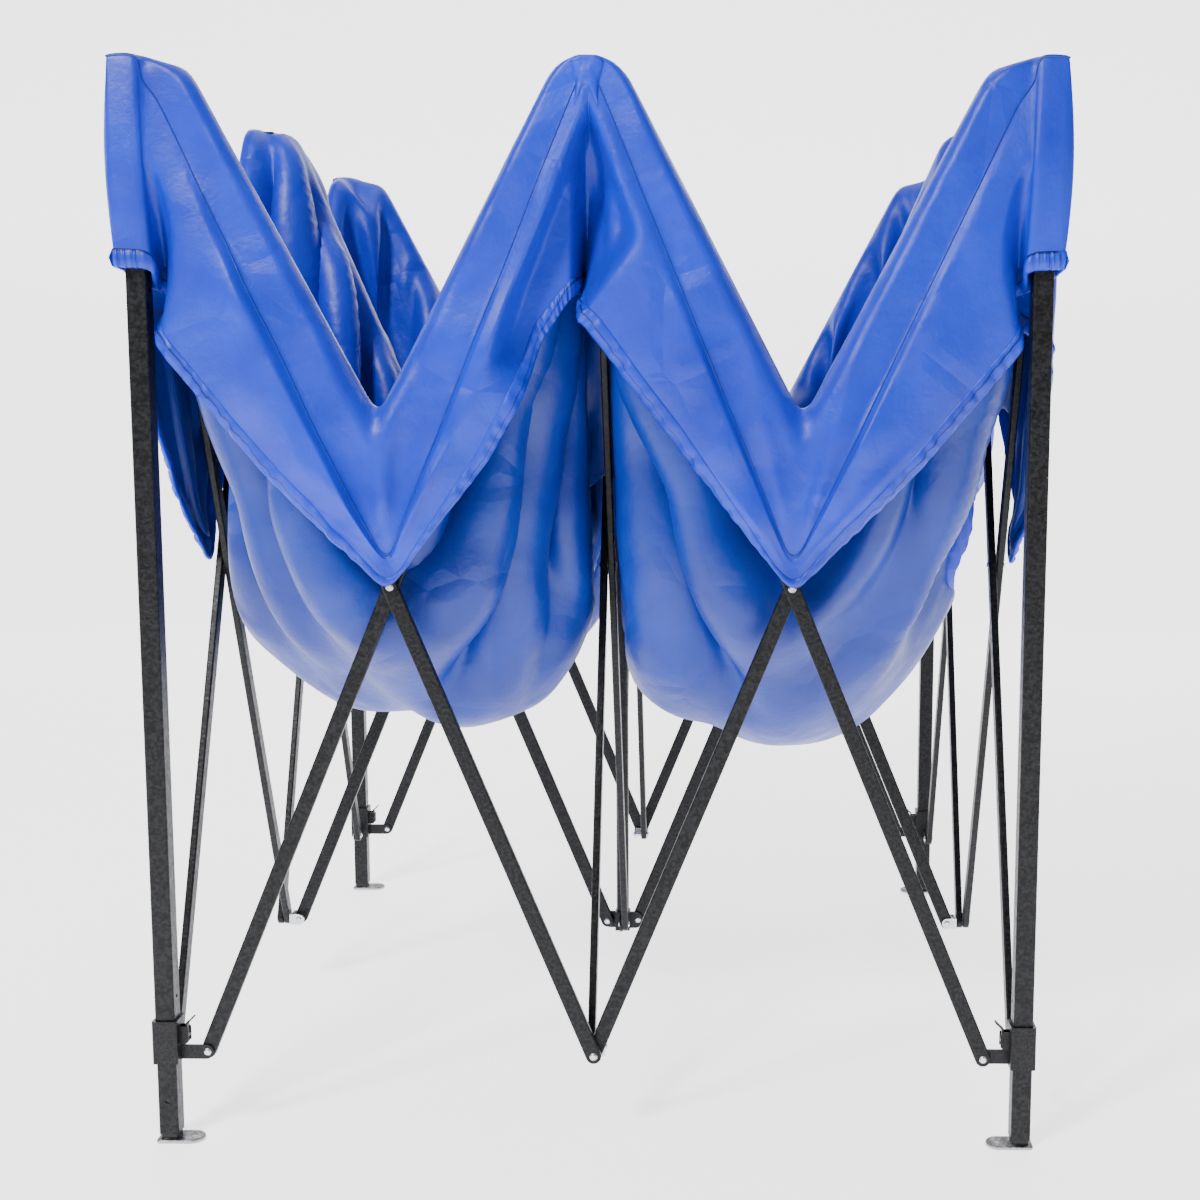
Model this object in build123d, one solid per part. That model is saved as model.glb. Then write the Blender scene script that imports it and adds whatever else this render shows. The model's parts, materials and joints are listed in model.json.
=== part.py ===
"""A 3 m by 3 m pop up canopy, half folded: a square scissor frame on four telescopic legs, with its
coated cloth cover still fixed to the tops of the legs.

Millimetres, +Z up, origin on the floor under the middle of the frame. The frame repeats four times
about the vertical axis, so each part is built for the front side or the front left leg and turned.
On the front side u runs along the side (+X), v runs inwards from the side's middle plane (+Y).
"""
from build123d import *
import math
import os

# ---- driving dimensions ----------------------------------------------------------------------
BAR_LENGTH = 1460.0          # pivot to pivot
FOLD_ANGLE = 22.4            # bar to vertical, as it stands
OPEN_ANGLE = 78.5            # bar to vertical, put up
LOW_PIVOT_Z = 132.0          # sliders and lower brackets, as it stands

LEG_ARM = 56.0               # leg axis to bar pivot
MID_ARM = 29.0               # side plane to truss pivot
HUB_ARM = LEG_ARM - MID_ARM  # centre axis to truss pivot: keeps every bar at one angle

BAR_WIDTH = 22.0
BAR_THICK = 11.0
BAR_WALL = 0.9
BAR_END = 16.0               # solid end plug, from the pivot towards the middle
BAR_EDGE = 2.4
LAYER = 6.0                  # a bar's middle plane, either side of the side plane
RIVET_R = 3.0
RUN_GAP = 0.05               # pivot hole over rivet
HEAD_R = 5.5
HEAD_T = 2.2
HEAD_GAP = 0.2
EAR_T = 3.0
EAR_HALF = 10.5
EAR_PAST = 9.0

OUTER_LEG = 28.0
INNER_LEG = 24.0
LEG_WALL = 1.0
LEG_TOP_Z = 1505.0
OUTER_BOTTOM_Z = 12.0
INNER_TOP_Z = 900.0
LEG_TRAVEL = 600.0           # the legs' height adjustment
LOCK_HOLE_R = 3.0
BUTTON_R = 3.4
BUTTON_HOLE_Z = 62.0
LOW_HOLE_Z = 215.0           # small hole above the slider
CATCH_HOLE_R = 4.2           # takes the slider's latch when the canopy is up

SLEEVE = 36.0
SLEEVE_BELOW = 13.0          # slider sleeve below its pivots
SLEEVE_ABOVE = 50.0
SLIDE_GAP = 0.3
CAP_BELOW = 24.0             # top bracket below its pivots
CAP_TOP_Z = 1515.0
FIT_GAP = 0.1

PLATE_T = 5.0                # foot plate
PLATE_HALF = 18.0
PLATE_OUT = 18.0
PLATE_IN = 48.0
STAKE_HOLE_R = 4.5

LATCH_PIN_OUT = 9.0          # sleeve face to latch pin
LATCH_PIN_UP = 25.0          # slider pivots to latch pin
LATCH_PIN_R = 2.0
LATCH_HALF = 5.0
TONGUE_UP = 20.5             # slider pivots to the latch tongue
CHEEK_T = 1.6

BRACKET_V = 12.0             # brackets behind the inner bar layer
BRACKET_T = 2.5
BRACKET_HALF = 14.5
BRACKET_TALL = 9.0
PAD_HALF = 20.0
PAD_LOW = 26.0
PAD_HIGH = 32.0

HUB_HALF = 13.0
HUB_TALL = 17.0
HUB_EAR_T = 4.0
HUB_EAR_HALF = 15.0
HUB_EAR_PAST = 10.0
POLE_R = 11.0
POLE_WALL = 1.2
POLE_GAP = 0.3
GUIDE_R = 14.0
GUIDE_LENGTH = 110.0
FLANGE_R = 40.0
FLANGE_T = 4.0

CLOTH_T = 1.5
CLOTH_GAP = 26.0             # cover to the side planes
CLOTH_TOP_Z = 1519.5
VALLEY_Z = 1050.0            # lowest point of the cover's edge over a crossing
HEM_CROSS_Z = 800.0
HEM_LEG_Z = 1140.0
HEM_MID_Z = 1180.0
HEM_CORNER_Z = 1240.0
TRUSS_VALLEY_Z = 940.0       # lowest point of the cover over a truss crossing
BAG_BOTTOM_Z = 590.0
CLOTH_FLAT = 44.0            # half the cover's flat over the hub and each middle bracket

# ---- worked out ------------------------------------------------------------------------------
THETA = math.radians(FOLD_ANGLE)
BAR_RUN = BAR_LENGTH * math.sin(THETA)
BAR_RISE = BAR_LENGTH * math.cos(THETA)
HALF = LEG_ARM + BAR_RUN                  # centre to leg axis
HIGH_PIVOT_Z = LOW_PIVOT_Z + BAR_RISE
CROSS_Z = LOW_PIVOT_Z + BAR_RISE / 2
CLOTH_CORNER = HALF + CLOTH_GAP
CLOTH_FAR = HALF - CLOTH_GAP
CLOTH_SLOPE = HALF - LEG_ARM - 6          # where the cover leaves the top of a leg
CROSS_U = HALF - LEG_ARM - BAR_RUN / 2
TRUSS_CROSS_V = MID_ARM + BAR_RUN / 2
POLE_TOP_Z = HIGH_PIVOT_Z + HUB_TALL - 2
CATCH_HOLE_Z = HIGH_PIVOT_Z - BAR_LENGTH * math.cos(math.radians(OPEN_ANGLE)) + TONGUE_UP
SIDES = ("front", "right", "back", "left")
LEGS = ("front_left", "front_right", "back_right", "back_left")


def block(x0, x1, y0, y1, z0, z1):
    """A box between two corners."""
    size = Box(x1 - x0, y1 - y0, z1 - z0)
    return Pos((x0 + x1) / 2, (y0 + y1) / 2, (z0 + z1) / 2) * size


def rod_y(radius, y0, y1, x=0.0, z=0.0):
    """A cylinder along Y."""
    return Pos(x, (y0 + y1) / 2, z) * Rot(X=90) * Cylinder(radius, y1 - y0)


def rod_x(radius, x0, x1, y=0.0, z=0.0):
    """A cylinder along X."""
    return Pos((x0 + x1) / 2, y, z) * Rot(Y=90) * Cylinder(radius, x1 - x0)


def turned(shape, side):
    """A front side shape, turned to side number 0 to 3."""
    return Rot(Z=90 * side) * shape


def rivet(y0, y1):
    """A rivet along Y with a domed head at each end, its shaft from y0 to y1."""
    shaft = rod_y(RIVET_R, y0, y1)
    dome = Rot(X=90) * Cone(HEAD_R, HEAD_R * 0.62, HEAD_T)
    near = Pos(0, y0 - HEAD_T / 2, 0) * dome
    far = Pos(0, y1 + HEAD_T / 2, 0) * Rot(Z=180) * dome
    return shaft + near + far


def ear(reach, y0, y1, half, past, start):
    """A flat ear in the XZ plane from x=start to its round end past the pivot at x=reach."""
    end = reach + past - half
    plate = block(start, end, y0, y1, -half, half) + rod_y(half, y0, y1, x=end)
    return plate - rod_y(RIVET_R + RUN_GAP, y0 - 1, y1 + 1, x=reach)


# ---- scissor bars ----------------------------------------------------------------------------
def bar():
    """A flat oval tube along Z with plugged round ends, 11 mm thick in Y, and three pivot holes."""
    half = BAR_LENGTH / 2
    outline = SlotCenterToCenter(BAR_LENGTH, BAR_WIDTH, rotation=90)
    body = Rot(X=90) * extrude(outline, BAR_THICK / 2, both=True)
    sides = body.faces().sort_by(Axis.Y)
    body = fillet(sides[0].edges() + sides[-1].edges(), BAR_EDGE)
    inside = half - BAR_END
    hollow = block(-BAR_WIDTH / 2 + BAR_WALL, BAR_WIDTH / 2 - BAR_WALL,
                   -BAR_THICK / 2 + BAR_WALL, BAR_THICK / 2 - BAR_WALL, -inside, inside)
    hollow = fillet(hollow.edges().filter_by(Axis.Z), BAR_EDGE - BAR_WALL)
    body -= hollow
    for z in (-half, 0, half):
        body -= rod_y(RIVET_R + RUN_GAP, -BAR_THICK, BAR_THICK, z=z)
    return body


def crossing_rivet():
    """The rivet that holds two bars together, long enough for both layers."""
    reach = LAYER + BAR_THICK / 2 + HEAD_GAP
    return rivet(-reach, reach)


def side_bar(tube, u, layer, lean, with_rivet):
    """A bar in the front side's plane, leaning to +u at its top when lean is +1."""
    placed = Pos(u, -HALF + layer, CROSS_Z) * Rot(Y=lean * FOLD_ANGLE) * tube
    if with_rivet:
        return Compound(children=[placed, Pos(u, -HALF, CROSS_Z) * crossing_rivet()])
    return placed


def truss_bar(tube, layer, lean, with_rivet):
    """A bar from the front side's middle to the centre, leaning outwards at its top when lean is +1."""
    v = -HALF + TRUSS_CROSS_V
    placed = Pos(layer, v, CROSS_Z) * Rot(X=lean * FOLD_ANGLE) * Rot(Z=90) * tube
    if with_rivet:
        return Compound(children=[placed, Pos(0, v, CROSS_Z) * Rot(Z=90) * crossing_rivet()])
    return placed


def bars():
    """Six bars for each side: hangers go down from a top pivot, risers go up from a lower one."""
    tube = bar()
    made = {}
    for number, side in enumerate(SIDES):
        kit = {
            "left_hanger_bar": side_bar(tube, -CROSS_U, -LAYER, -1, True),
            "left_riser_bar": side_bar(tube, -CROSS_U, LAYER, 1, False),
            "right_riser_bar": side_bar(tube, CROSS_U, -LAYER, -1, False),
            "right_hanger_bar": side_bar(tube, CROSS_U, LAYER, 1, True),
            "truss_hanger_bar": truss_bar(tube, LAYER, 1, True),
            "truss_riser_bar": truss_bar(tube, -LAYER, -1, False),
        }
        for name, shape in kit.items():
            made[f"{side}_{name}"] = turned(shape, number)
    return made


# ---- legs ------------------------------------------------------------------------------------
def square_tube(size, z0, z1, corner):
    """A square tube of wall LEG_WALL about the Z axis."""
    outer = fillet(block(-size / 2, size / 2, -size / 2, size / 2, z0, z1).edges().filter_by(Axis.Z), corner)
    half = size / 2 - LEG_WALL
    inner = block(-half, half, -half, half, z0 - 1, z1 + 1)
    return outer - fillet(inner.edges().filter_by(Axis.Z), corner - LEG_WALL)


def inwards(shape, leg_number):
    """A corner shape made to point along its own +X, turned so that it points inwards along the row's X."""
    return shape if leg_number % 2 == 0 else Rot(Z=90) * shape


def outer_leg(leg_number):
    """The upper leg tube: a height button's hole on an outer face, and the latch's holes on an inner one."""
    face = OUTER_LEG / 2
    tube = square_tube(OUTER_LEG, OUTER_BOTTOM_Z, LEG_TOP_Z, 3.0)
    tube -= rod_y(BUTTON_R + FIT_GAP, -face - 3, -face + 3, z=BUTTON_HOLE_Z)
    for radius, z in ((LOCK_HOLE_R, LOW_HOLE_Z), (CATCH_HOLE_R, CATCH_HOLE_Z)):
        tube -= inwards(rod_x(radius, face - 3, face + 3, z=z), leg_number)
    return tube


def foot_plate():
    """A stamped steel plate: square under the leg, round at its inner end, with a hole for a stake."""
    edge = PLATE_IN - PLATE_HALF
    plate = block(-PLATE_OUT, edge, -PLATE_HALF, PLATE_HALF, 0, PLATE_T)
    plate = fillet(plate.edges().filter_by(Axis.Z).group_by(Axis.X)[0], 6.0)
    plate += Pos(edge, 0, PLATE_T / 2) * Cylinder(PLATE_HALF, PLATE_T)
    plate = chamfer(plate.faces().sort_by(Axis.Z)[-1].outer_wire().edges(), 1.2)
    stake = Pos(edge + 2, 0, PLATE_T / 2) * Cylinder(STAKE_HOLE_R, PLATE_T + 2)
    return plate - stake


def spring_button():
    """The bent strip spring and button inside the inner leg, pressed in by the outer tube's wall."""
    z = BUTTON_HOLE_Z + LEG_TRAVEL
    wall = INNER_LEG / 2 - LEG_WALL
    button = rod_x(BUTTON_R, wall - 4, OUTER_LEG / 2 - LEG_WALL - FIT_GAP, z=z)
    strip_t = 0.8
    fold = 4.0
    near = block(wall - 4 - strip_t, wall - 4, -4, 4, z - 12, z + 40)
    far = block(-wall + 0.2, -wall + 0.2 + strip_t, -4, 4, z - 12, z + 40)
    bend = block(-wall + 0.2, wall - 4, -4, 4, z + 40, z + 40 + fold)
    bend = fillet(bend.edges().filter_by(Axis.Y).group_by(Axis.Z)[-1], fold - 0.5)
    return Rot(Z=-90) * (button + near + far + bend)


def inner_leg(leg_number):
    """The lower leg tube, retracted in the outer one, on its foot plate, with its spring button."""
    face = INNER_LEG / 2
    tube = square_tube(INNER_LEG, PLATE_T, INNER_TOP_Z, 2.4)
    tube -= rod_y(BUTTON_R + FIT_GAP, -face - 3, -face + 3, z=BUTTON_HOLE_Z + LEG_TRAVEL)
    return Compound(children=[tube, inwards(foot_plate(), leg_number), spring_button()])


def corner_rivet(layer):
    """The rivet through an ear and a bar in that layer, about the ear's pivot."""
    face = abs(layer) + BAR_THICK / 2 + HEAD_GAP
    back = EAR_T - HEAD_GAP
    return rivet(-face, back) if layer < 0 else rivet(-back, face)


def corner_ears(layer, start):
    """An ear towards +X beside a bar in that layer, and the same ear turned towards +Y."""
    low, high = (-HEAD_GAP, EAR_T - HEAD_GAP) if layer < 0 else (HEAD_GAP - EAR_T, HEAD_GAP)
    along_x = ear(LEG_ARM, low, high, EAR_HALF, EAR_PAST, start)
    return along_x + Rot(Z=90) * along_x


def corner_rivets(layer):
    """The rivets of those two ears."""
    along_x = Pos(LEG_ARM, 0, 0) * corner_rivet(layer)
    return [along_x, Rot(Z=90) * along_x]


def top_bracket():
    """The cap on a leg, with an ear for the hanger bar of each side that meets there."""
    half = SLEEVE / 2
    cap = block(-half, half, -half, half, HIGH_PIVOT_Z - CAP_BELOW, CAP_TOP_Z)
    cap = fillet(cap.edges().filter_by(Axis.Z), 4.0)
    cap = fillet(cap.faces().sort_by(Axis.Z)[-1].edges(), 5.0)
    pocket = OUTER_LEG / 2 + FIT_GAP
    cap -= block(-pocket, pocket, -pocket, pocket, HIGH_PIVOT_Z - CAP_BELOW - 1, LEG_TOP_Z + FIT_GAP)
    body = cap + Pos(0, 0, HIGH_PIVOT_Z) * corner_ears(-LAYER, half - 1)
    rivets = [Pos(0, 0, HIGH_PIVOT_Z) * one for one in corner_rivets(-LAYER)]
    return Compound(children=[body] + rivets)


def latch_cheeks():
    """Two plates on the sleeve's +X face that hold the latch pin."""
    face = SLEEVE / 2
    cheeks = Part()
    for y in (-LATCH_HALF - 0.3 - CHEEK_T, LATCH_HALF + 0.3):
        cheek = block(face - 1, face + LATCH_PIN_OUT + 4, y, y + CHEEK_T, 13.5, LATCH_PIN_UP + 14)
        cheek = chamfer(cheek.edges().filter_by(Axis.Y).group_by(Axis.X)[-1], 3.5)
        cheek -= rod_y(LATCH_PIN_R + RUN_GAP, y - 1, y + CHEEK_T + 1, x=face + LATCH_PIN_OUT, z=LATCH_PIN_UP)
        cheeks += cheek
    return cheeks


def slider(leg_number):
    """The lower sleeve with an ear for the riser bar of each side, latch cheeks, and its rivets."""
    face = SLEEVE / 2
    bore = OUTER_LEG / 2 + SLIDE_GAP
    sleeve = block(-face, face, -face, face, -SLEEVE_BELOW, SLEEVE_ABOVE)
    sleeve = fillet(sleeve.edges().filter_by(Axis.Z), 3.0)
    body = sleeve + corner_ears(LAYER, face - 1) + inwards(latch_cheeks(), leg_number)
    body -= block(-bore, bore, -bore, bore, -SLEEVE_BELOW - 1, SLEEVE_ABOVE + 1)
    body -= inwards(block(bore - 1, face + 1, -4.5, 4.5, LATCH_PIN_UP - 12, LATCH_PIN_UP + 3), leg_number)
    return Pos(0, 0, LOW_PIVOT_Z) * Compound(children=[body] + corner_rivets(LAYER))


def latch():
    """A bent lever on its pin: a tongue below, towards the leg, and a thumb end above, turned outwards."""
    face = SLEEVE / 2
    pin_x = face + LATCH_PIN_OUT
    pin = rod_y(LATCH_PIN_R, -LATCH_HALF - 2.4, LATCH_HALF + 2.4, x=pin_x, z=LATCH_PIN_UP)
    boss = rod_y(LATCH_PIN_R + 1.8, -LATCH_HALF, LATCH_HALF, x=pin_x, z=LATCH_PIN_UP)
    neck = block(pin_x, pin_x + 2.2, -LATCH_HALF, LATCH_HALF, LATCH_PIN_UP, LATCH_PIN_UP + 19)
    thumb = Pos(pin_x, 0, LATCH_PIN_UP + 18) * Rot(Y=45) * block(0, 2.2, -LATCH_HALF, LATCH_HALF, -1, 15)
    tongue = block(face - 3.0, pin_x, -3.5, 3.5, TONGUE_UP - 2, TONGUE_UP + 2)
    return Pos(0, 0, LOW_PIVOT_Z) * (boss + pin + neck + thumb + tongue)


def leg_parts():
    """Each leg's two tubes, top bracket, slider and latch."""
    made = {}
    for number, leg in enumerate(LEGS):
        kit = {
            "outer_leg": outer_leg(number),
            "inner_leg": inner_leg(number),
            "top_bracket": top_bracket(),
            "slider": slider(number),
            "latch": inwards(latch(), number),
        }
        for name, shape in kit.items():
            made[f"{leg}_{name}"] = turned(Pos(-HALF, -HALF, 0) * shape, number)
    return made


# ---- brackets in the middle of each side --------------------------------------------------------
def middle_bracket(bar_layer):
    """A U of sheet behind the side's two bars, with cheeks for the truss bar; its z=0 is the pivots'."""
    inner, outer = BRACKET_V, BRACKET_V + BRACKET_T
    reach = MID_ARM + BRACKET_TALL - inner
    plate = block(-BRACKET_HALF, BRACKET_HALF, inner, outer, -BRACKET_TALL, BRACKET_TALL)
    plate -= rod_y(RIVET_R + RUN_GAP, inner - 1, outer + 1)
    cheeks = Part()
    for x in (-BRACKET_HALF, BRACKET_HALF - BRACKET_T):
        tip = inner + reach - BRACKET_TALL
        cheek = block(x, x + BRACKET_T, outer - 0.5, tip, -BRACKET_TALL, BRACKET_TALL)
        cheek += rod_x(BRACKET_TALL, x, x + BRACKET_T, y=tip)
        cheeks += cheek - rod_x(RIVET_R + RUN_GAP, x - 1, x + BRACKET_T + 1, y=MID_ARM)
    side_rivet = rivet(-LAYER - BAR_THICK / 2 - HEAD_GAP, outer)
    truss_rivet = Pos(0, MID_ARM, 0) * Rot(Z=90) * rivet(-BRACKET_HALF, BRACKET_HALF)
    free_end = BRACKET_HALF - BRACKET_T - HEAD_GAP
    span = (-free_end, HEAD_GAP) if bar_layer > 0 else (-HEAD_GAP, free_end)
    spacer = rod_x(HEAD_R, span[0], span[1], y=MID_ARM)
    spacer -= rod_x(RIVET_R + RUN_GAP, span[0] - 1, span[1] + 1, y=MID_ARM)
    return plate + cheeks, [side_rivet, truss_rivet, spacer]


def top_pad():
    """The rounded pad over a middle top bracket that carries the cover, on a web from the bracket's plate."""
    inner, outer = BRACKET_V, BRACKET_V + BRACKET_T
    pad = block(-PAD_HALF, PAD_HALF, -CLOTH_GAP / 2, CLOTH_GAP, PAD_LOW, PAD_HIGH)
    pad = fillet(pad.edges().filter_by(Axis.Z), 8.0)
    pad = fillet(pad.faces().sort_by(Axis.Z)[-1].edges(), 2.0)
    web = block(-BRACKET_HALF, BRACKET_HALF, inner, outer, BRACKET_TALL - 0.5, PAD_LOW + 1)
    return pad + web


def middle_parts():
    """The black top bracket and the plated lower bracket of each side."""
    made = {}
    upper, upper_pins = middle_bracket(LAYER)
    lower, lower_pins = middle_bracket(-LAYER)
    upper = Compound(children=[upper + top_pad()] + upper_pins)
    lower = Compound(children=[lower] + lower_pins)
    for number, side in enumerate(SIDES):
        made[f"{side}_middle_top_bracket"] = turned(Pos(0, -HALF, HIGH_PIVOT_Z) * upper, number)
        made[f"{side}_middle_lower_bracket"] = turned(Pos(0, -HALF, LOW_PIVOT_Z) * lower, number)
    return made


# ---- centre hubs and pole ------------------------------------------------------------------------
def hub(bar_layer):
    """A square core with four ears for the truss bars, and their rivets; its z=0 is the pivots'."""
    face = LAYER + BAR_THICK / 2 + HEAD_GAP
    low = -HEAD_GAP if bar_layer < 0 else HEAD_GAP - HUB_EAR_T
    high = low + HUB_EAR_T
    body = block(-HUB_HALF, HUB_HALF, -HUB_HALF, HUB_HALF, -HUB_TALL, HUB_TALL)
    body = fillet(body.edges().filter_by(Axis.Z), 2.0)
    blade = ear(HUB_ARM, low, high, HUB_EAR_HALF, HUB_EAR_PAST, HUB_HALF - 1)
    pin = Pos(HUB_ARM, 0, 0) * (rivet(-face, high) if bar_layer < 0 else rivet(low, face))
    turns = [Rot(Z=90 * quarter - 90) for quarter in range(4)]
    for turn in turns:
        body += turn * blade
    return body, [turn * pin for turn in turns]


def centre_parts():
    """The lower hub with the pole standing in it, and the top hub with the guide the pole slides through."""
    bore = Cylinder(POLE_R + POLE_GAP, 4 * GUIDE_LENGTH)
    lower, lower_rivets = hub(LAYER)
    lower -= Pos(0, 0, 2) * Cylinder(POLE_R + FIT_GAP, 2 * HUB_TALL)
    upper, upper_rivets = hub(-LAYER)
    flange = fillet(Cylinder(FLANGE_R, FLANGE_T).edges().group_by(Axis.Z)[-1], 2.0)
    upper += Pos(0, 0, HUB_TALL + FLANGE_T / 2) * flange
    upper += Pos(0, 0, -HUB_TALL - GUIDE_LENGTH / 2) * Cylinder(GUIDE_R, GUIDE_LENGTH)
    upper -= bore
    foot_z = LOW_PIVOT_Z - HUB_TALL + 2 + FIT_GAP
    length = POLE_TOP_Z - foot_z
    tube = Cylinder(POLE_R, length) - Cylinder(POLE_R - POLE_WALL, length + 2)
    pole = Pos(0, 0, foot_z + length / 2) * tube
    cap = Cylinder(POLE_R, 3) + Pos(0, 0, -8) * Cylinder(POLE_R - POLE_WALL - FIT_GAP, 16)
    cap = fillet(cap.faces().sort_by(Axis.Z)[-1].edges(), 2.5)
    return {
        "centre_lower_hub": Pos(0, 0, LOW_PIVOT_Z) * Compound(children=[lower] + lower_rivets),
        "centre_top_hub": Pos(0, 0, HIGH_PIVOT_Z) * Compound(children=[upper] + upper_rivets),
        "centre_pole": Compound(children=[pole, Pos(0, 0, POLE_TOP_Z + 1.5 + FIT_GAP) * cap]),
    }


# ---- cover -----------------------------------------------------------------------------------
def edge_line(valley_z):
    """A quarter's edge from the cover's corner to its middle: distance from the middle, and height."""
    top = CLOTH_TOP_Z
    return [(CLOTH_CORNER, top), (CLOTH_FAR, top), (CLOTH_SLOPE, top), (CROSS_U, valley_z),
            (CLOTH_FLAT, top), (CLOTH_GAP, top), (0, top)]


def swapped(polygons):
    """The same polygons mirrored in the quarter's diagonal."""
    return [[(y, x, z) for x, y, z in polygon] for polygon in polygons]


def roof_skin(side, drop):
    """One skin of a quarter's roof: strips over the side and truss bars, and the bag between them."""
    side_line = [(min(x, side), z - drop) for x, z in edge_line(VALLEY_Z)]
    truss_line = [(x, z - drop) for x, z in edge_line(TRUSS_VALLEY_Z)[1:-1]]
    across_side = [[(x0, side, z0), (x1, side, z1), (x1, CLOTH_FAR, z1), (x0, CLOTH_FAR, z0)]
                   for (x0, z0), (x1, z1) in zip(side_line, side_line[1:])]
    across_truss = [[(0, y0, z0), (0, y1, z1), (CLOTH_GAP, y1, z1), (CLOTH_GAP, y0, z0)]
                    for (y0, z0), (y1, z1) in zip(truss_line, truss_line[1:])]
    middle = [(x, y, CLOTH_TOP_Z - drop) for x, y in
              [(0, 0), (CLOTH_GAP, 0), (CLOTH_GAP, CLOTH_GAP), (0, CLOTH_GAP)]]
    rim = [(x, CLOTH_FAR, z) for x, z in side_line[1:-1]] + [(CLOTH_GAP, y, z) for y, z in truss_line[1:]]
    rims = [list(pair) for pair in zip(rim, rim[1:])]
    lowest = (CROSS_U, CROSS_U, BAG_BOTTOM_Z - drop)
    bag = [[start, end, lowest] for start, end in rims + swapped(rims)]
    return across_side + swapped(across_side[1:]) + across_truss + swapped(across_truss) + [middle] + bag


def valance(side, drop):
    """One skin of a quarter's valance on the front side, and its hem as a line of points."""
    hem = [(side, HEM_CORNER_Z), (HALF - 20, HEM_CORNER_Z), (HALF - 20, HEM_LEG_Z), (CROSS_U, HEM_CROSS_Z),
           (0, HEM_MID_Z)]
    upper = [(min(x, side), z - drop) for x, z in edge_line(VALLEY_Z)]
    return [(x, side, z) for x, z in upper + hem[::-1]], [(x, side, z) for x, z in hem]


def cover():
    """The whole cover as one thin shell: a quarter's roof and valances in two skins, turned four times."""
    outer, outer_hem = valance(CLOTH_CORNER, 0)
    inner, inner_hem = valance(CLOTH_CORNER - CLOTH_T, 2 * CLOTH_T)
    outside = list(zip(outer_hem, outer_hem[1:]))
    inside = list(zip(inner_hem, inner_hem[1:]))
    hems = [[a, b, d, c] for (a, b), (c, d) in zip(outside, inside)]
    fronts = [outer, inner] + hems
    quarter = roof_skin(CLOTH_CORNER, 0) + roof_skin(CLOTH_CORNER - CLOTH_T, 2 * CLOTH_T)
    quarter += fronts + swapped(fronts)
    faces = [Face(Wire.make_polygon([Vector(*point) for point in polygon])) for polygon in quarter]
    return Solid(Shell([turned(face, side) for side in range(4) for face in faces]))


def main():
    """Writes one STEP file for each node."""
    nodes = {**leg_parts(), **bars(), **middle_parts(), **centre_parts(), "cover": cover()}
    os.makedirs("parts", exist_ok=True)
    for name, shape in nodes.items():
        export_step(shape, f"parts/{name}.step")


main()
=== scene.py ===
"""A half-folded 3 m pop up canopy: its coated cloth cover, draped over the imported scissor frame."""
import bpy
import json
import math
import numpy as np
from mathutils import Euler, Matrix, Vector

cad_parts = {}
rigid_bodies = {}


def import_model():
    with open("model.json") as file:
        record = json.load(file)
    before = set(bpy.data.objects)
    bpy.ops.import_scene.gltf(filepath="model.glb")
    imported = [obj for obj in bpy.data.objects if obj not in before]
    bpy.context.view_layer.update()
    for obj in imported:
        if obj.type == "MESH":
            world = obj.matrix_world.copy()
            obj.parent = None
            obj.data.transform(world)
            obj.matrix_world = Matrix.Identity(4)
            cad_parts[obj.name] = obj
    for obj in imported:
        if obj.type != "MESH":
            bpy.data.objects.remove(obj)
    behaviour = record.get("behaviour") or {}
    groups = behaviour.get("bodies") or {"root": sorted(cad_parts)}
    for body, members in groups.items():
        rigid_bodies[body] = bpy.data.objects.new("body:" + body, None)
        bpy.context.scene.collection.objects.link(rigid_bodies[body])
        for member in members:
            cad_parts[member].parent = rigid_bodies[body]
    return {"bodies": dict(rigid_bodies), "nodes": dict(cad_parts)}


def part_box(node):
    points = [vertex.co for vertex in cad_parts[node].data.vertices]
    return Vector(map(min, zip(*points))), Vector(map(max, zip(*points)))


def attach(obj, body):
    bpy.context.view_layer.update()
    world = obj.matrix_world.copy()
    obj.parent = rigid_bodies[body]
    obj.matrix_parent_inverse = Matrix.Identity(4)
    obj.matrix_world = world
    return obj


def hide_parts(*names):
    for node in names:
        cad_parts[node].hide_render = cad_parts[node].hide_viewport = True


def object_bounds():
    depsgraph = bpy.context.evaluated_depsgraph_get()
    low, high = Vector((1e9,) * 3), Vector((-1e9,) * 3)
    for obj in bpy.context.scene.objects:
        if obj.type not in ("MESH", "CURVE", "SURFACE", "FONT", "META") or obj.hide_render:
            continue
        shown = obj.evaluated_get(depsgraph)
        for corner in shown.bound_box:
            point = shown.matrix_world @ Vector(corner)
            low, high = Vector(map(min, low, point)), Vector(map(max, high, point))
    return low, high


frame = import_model()
cad_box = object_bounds()

# ---- places, from the frame, in metres --------------------------------------------------------
CORNERS = {"front_left": (-1, -1), "front_right": (1, -1), "back_right": (1, 1), "back_left": (-1, 1)}
MIDDLES = {"front": (0, -1), "right": (1, 0), "back": (0, 1), "left": (-1, 0)}
leg_low, leg_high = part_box("front_right_outer_leg")
hanger_low, hanger_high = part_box("front_right_hanger_bar")
BAR_HALF = 0.011                 # half a bar's width
HALF = (leg_low[0] + leg_high[0]) / 2             # centre to leg axis, and to a side's middle plane
HIGH_PIVOT = hanger_high[2] - BAR_HALF
LOW_PIVOT = hanger_low[2] + BAR_HALF
CROSS_Z = (HIGH_PIVOT + LOW_PIVOT) / 2            # a side's crossing: its height,
CROSS_U = (hanger_low[0] + hanger_high[0]) / 2    # and its distance from the side's middle
BAR_SLOPE = CROSS_U / (HIGH_PIVOT - CROSS_Z)
truss_low, truss_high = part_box("front_truss_hanger_bar")
TRUSS_V = -(truss_low[1] + truss_high[1]) / 2     # centre to a truss's crossing
RIVET_WIDTH = 0.0135             # no other solid of the frame is so narrow
TOP = cad_box[1][2] + 0.001      # the cover's highest points, just over the frame's
OPEN_HALF = 1.486                # centre to leg axis with the canopy put up
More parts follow.
